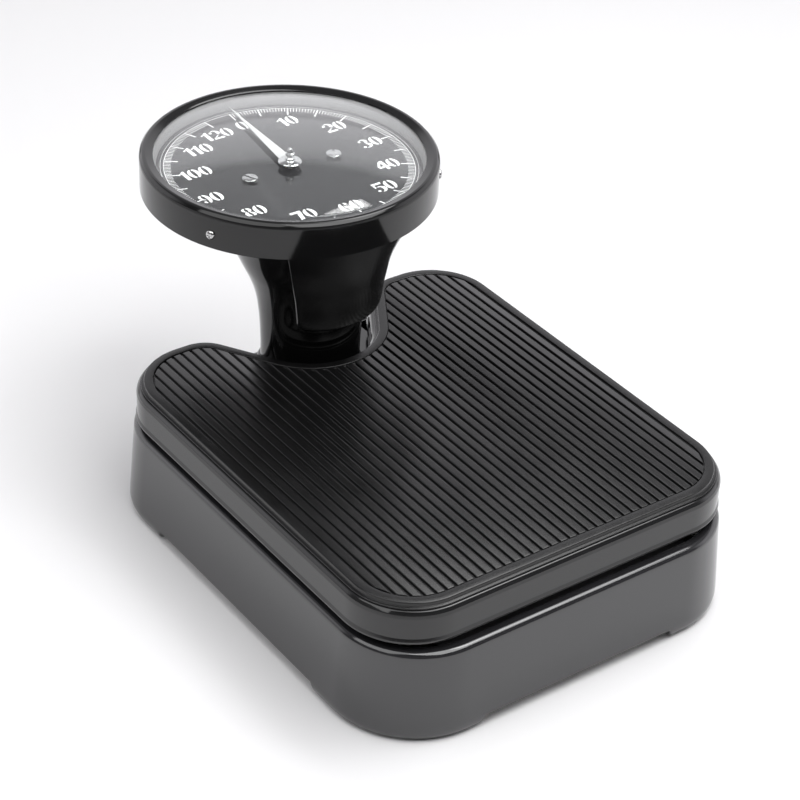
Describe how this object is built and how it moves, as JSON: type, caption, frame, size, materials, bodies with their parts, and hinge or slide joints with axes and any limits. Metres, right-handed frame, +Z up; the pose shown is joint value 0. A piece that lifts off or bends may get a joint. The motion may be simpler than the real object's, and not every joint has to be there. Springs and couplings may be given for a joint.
{
  "type": "bathroom scale",
  "caption": "Mechanical column bathroom scale: black cast base, sprung platform with a ribbed rubber mat, short column and a round glazed dial head with pointer.",
  "frame": {"origin": "centre of the footprint of the whole object, on the floor", "axes": "+Z up, +Y from the heels towards the column, +X to the user's right"},
  "size_m": [0.3, 0.4467, 0.235],
  "materials": {
    "black_enamel": "gloss, fine orange peel",
    "black_gloss": "high gloss",
    "mat_rubber": "matte, ribbed",
    "foot_rubber": "matte",
    "zinc_steel": "zinc plated",
    "chrome_screw": "polished",
    "spring_steel": "oiled",
    "brass_part": "satin",
    "lever_steel": "dipped black",
    "dial_black": "gloss with light grey print",
    "dial_glass": "clear",
    "seal_rubber": "matte",
    "white_ring": "satin",
    "pointer_paint": "white lacquer",
    "knob_plastic": "satin"
  },
  "bodies": {
    "base": {"base_housing": "black_enamel", "base_plate": "zinc_steel", "base_plate_screws": "zinc_steel", "rubber_feet": "foot_rubber", "fulcrum_brackets": "zinc_steel", "bracket_screws": "zinc_steel", "spring_tower": "zinc_steel", "column": "black_enamel", "column_hood": "black_enamel", "hood_screws": "zinc_steel", "column_bolts": "zinc_steel", "dial_case": "black_gloss", "case_screws": "zinc_steel", "bezel": "black_gloss", "bezel_screws": "chrome_screw", "gasket": "seal_rubber", "glass": "dial_glass", "reflector_ring": "white_ring", "dial_plate": "dial_black", "dial_pillars": "brass_part", "dial_screws": "chrome_screw", "movement_frame": "brass_part", "movement_bridge": "brass_part", "crank_arbor": "zinc_steel"},
    "platform": {"platform_pan": "black_enamel", "platform_frame": "lever_steel", "platform_mat": "mat_rubber"},
    "long_lever": {"long_lever": "lever_steel"},
    "short_lever": {"short_lever": "lever_steel"},
    "shackle": {"lever_shackle": "zinc_steel"},
    "yoke": {"spring_yoke": "brass_part", "main_springs": "spring_steel"},
    "rod": {"pull_rod": "zinc_steel"},
    "crank": {"bell_crank": "brass_part"},
    "rack": {"rack": "brass_part"},
    "pointer": {"pointer_arbor": "zinc_steel", "pointer": "pointer_paint", "pointer_hub": "chrome_screw"},
    "zero_knob": {"zero_knob": "knob_plastic"},
    "zero_block": {"zero_carriage": "knob_plastic"}
  },
  "joints": [
    {"name": "platform_slide", "type": "slide", "parent": "base", "child": "platform", "axis": [0, 0, -1], "range_m": [0, 0.0036], "stiffness_N_per_m": 354000},
    {"name": "long_lever_hinge", "type": "hinge", "parent": "base", "child": "long_lever", "pos_m": [0, -0.19565, 0.055], "axis": [-1, 0, 0], "range_deg": [0, 5.2]},
    {"name": "short_lever_hinge", "type": "hinge", "parent": "base", "child": "short_lever", "pos_m": [0, 0.10435, 0.055], "axis": [1, 0, 0], "range_deg": [0, 5.2]},
    {"name": "shackle_slide", "type": "slide", "parent": "base", "child": "shackle", "axis": [0, 0, -1], "range_m": [0, 0.0136]},
    {"name": "yoke_slide", "type": "slide", "parent": "base", "child": "yoke", "axis": [0, 0, -1], "range_m": [0, 0.0206], "deforming": ["main_springs"]},
    {"name": "rod_slide", "type": "slide", "parent": "base", "child": "rod", "axis": [0, 0, -1], "range_m": [0, 0.0258]},
    {"name": "crank_hinge", "type": "hinge", "parent": "base", "child": "crank", "pos_m": [0, 0.13235, 0.1877], "axis": [1, 0, 0], "range_deg": [0, 34.3]},
    {"name": "rack_slide", "type": "slide", "parent": "base", "child": "rack", "axis": [0, -1, 0], "range_m": [0, 0.0128]},
    {"name": "pointer_hinge", "type": "hinge", "parent": "base", "child": "pointer", "pos_m": [0, 0.11875, 0.209], "axis": [0, 0, -1], "range_deg": [0, 346.5]},
    {"name": "zero_knob_turn", "type": "hinge", "parent": "base", "child": "zero_knob", "pos_m": [0.06, 0.13235, 0.038], "axis": [0, 1, 0], "range_deg": [-720, 720]},
    {"name": "zero_block_slide", "type": "slide", "parent": "base", "child": "zero_block", "axis": [0, 1, 0], "range_m": [-0.0021, 0.0021]}
  ],
  "couplings": [
    {"joint": "long_lever_hinge", "follows": "platform_slide", "rad_per_m": 25},
    {"joint": "short_lever_hinge", "follows": "platform_slide", "rad_per_m": 25},
    {"joint": "shackle_slide", "follows": "platform_slide", "ratio": 3.75},
    {"joint": "yoke_slide", "follows": "platform_slide", "ratio": 5.7},
    {"joint": "rod_slide", "follows": "platform_slide", "ratio": 7.125},
    {"joint": "crank_hinge", "follows": "platform_slide", "rad_per_m": 165.7},
    {"joint": "rack_slide", "follows": "platform_slide", "ratio": 3.5242},
    {"joint": "pointer_hinge", "follows": "platform_slide", "rad_per_m": 1678.2},
    {"joint": "zero_block_slide", "follows": "zero_knob_turn", "m_per_rad": 0.00015915}
  ]
}
